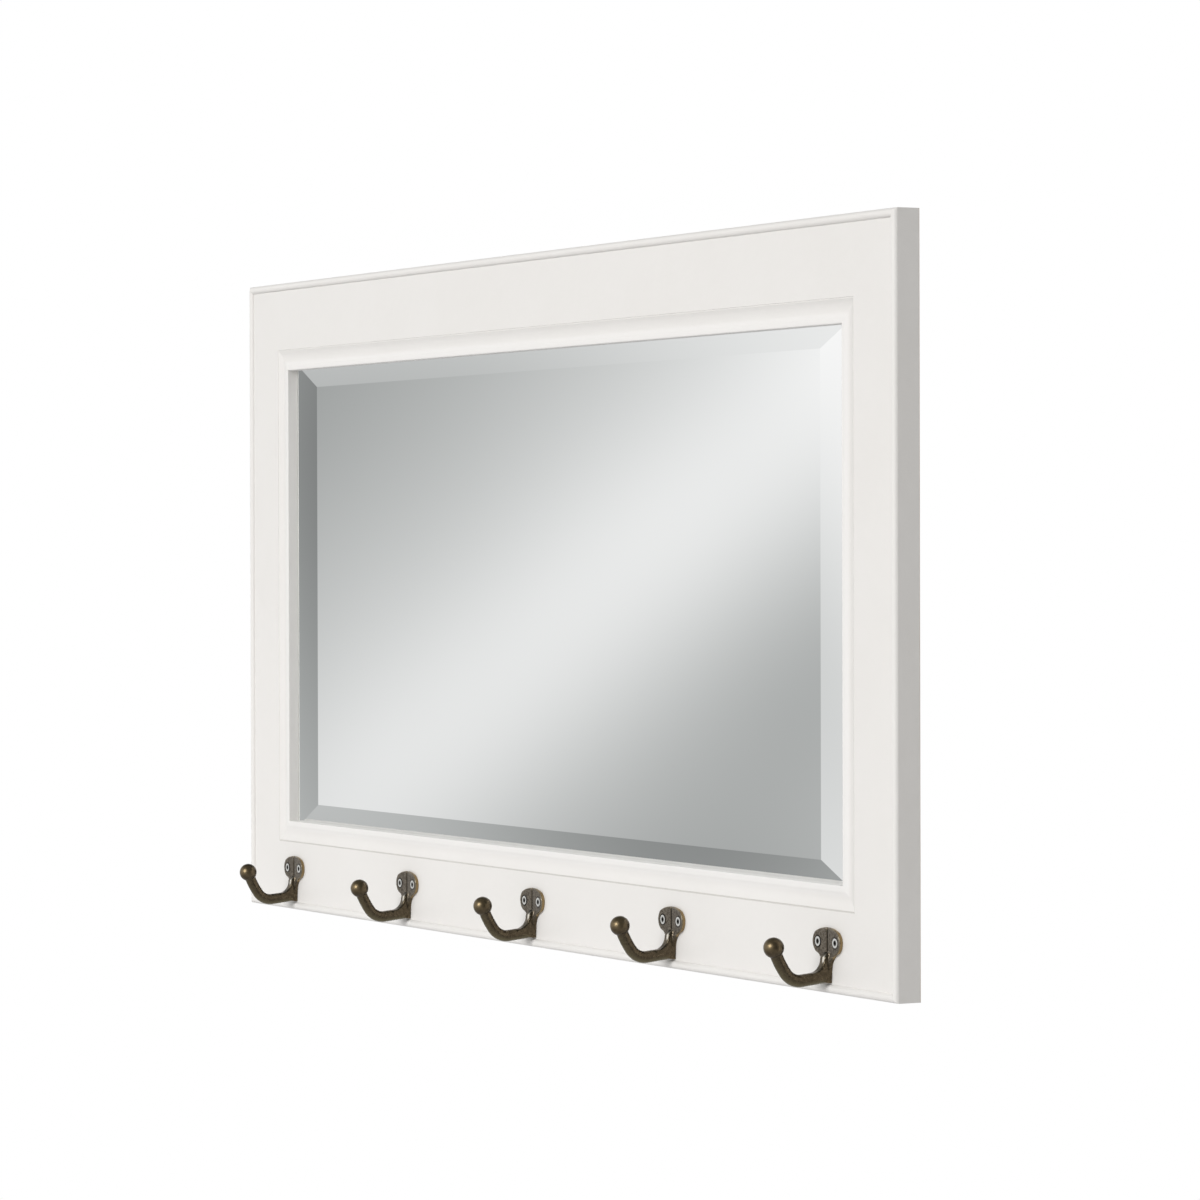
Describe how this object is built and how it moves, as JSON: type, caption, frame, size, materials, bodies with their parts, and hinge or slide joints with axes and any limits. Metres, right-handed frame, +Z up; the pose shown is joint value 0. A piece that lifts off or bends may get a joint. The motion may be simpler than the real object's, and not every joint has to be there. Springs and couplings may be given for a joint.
{
  "type": "mirror with hooks",
  "caption": "Wide wall mirror, bevelled glass in a white moulded wooden frame, with ball-ended coat hooks in a row on its bottom rail.",
  "frame": {"origin": "the middle of the frame's outline, on the wall plane that the five back bumpers touch", "axes": "+Z up, -Y out of the wall towards the viewer, +X to the viewer's right along the rails"},
  "size_m": [1.016, 0.0706, 0.508],
  "materials": {
    "paint": "white satin paint on wood",
    "beech": "plain beech",
    "mirror": "silvered glass with ground bevels",
    "cork": "pressed cork",
    "board": "raw fibreboard",
    "zinc": "bright zinc plate",
    "zinc_wire": "bright zinc plated wire",
    "aged_brass": "dark antique brass over a cast body",
    "nickel": "nickel plated",
    "bumper": "clear soft plastic"
  },
  "bodies": {
    "mirror": {"left_stile": "paint", "right_stile": "paint", "top_rail": "paint", "bottom_rail": "paint", "corner_keys": "beech", "mirror_glass": "mirror", "setting_pads": "cork", "backing_board": "board", "backing_clips": "zinc", "clip_screws": "zinc", "hook_1": "aged_brass", "hook_2": "aged_brass", "hook_3": "aged_brass", "hook_4": "aged_brass", "hook_5": "aged_brass", "hook_screws": "nickel", "left_hanger_strap": "zinc", "right_hanger_strap": "zinc", "hanger_screws": "zinc", "wall_bumpers": "bumper"},
    "left_ring": {"left_hanging_ring": "zinc_wire"},
    "right_ring": {"right_hanging_ring": "zinc_wire"}
  },
  "joints": [
    {"name": "left_ring_swing", "type": "hinge", "parent": "mirror", "child": "left_ring", "pos_m": [-0.477, -0.0027, 0.15], "axis": [1, 0, 0], "range_deg": [0, 176]},
    {"name": "right_ring_swing", "type": "hinge", "parent": "mirror", "child": "right_ring", "pos_m": [0.477, -0.0027, 0.15], "axis": [1, 0, 0], "range_deg": [0, 176]}
  ]
}
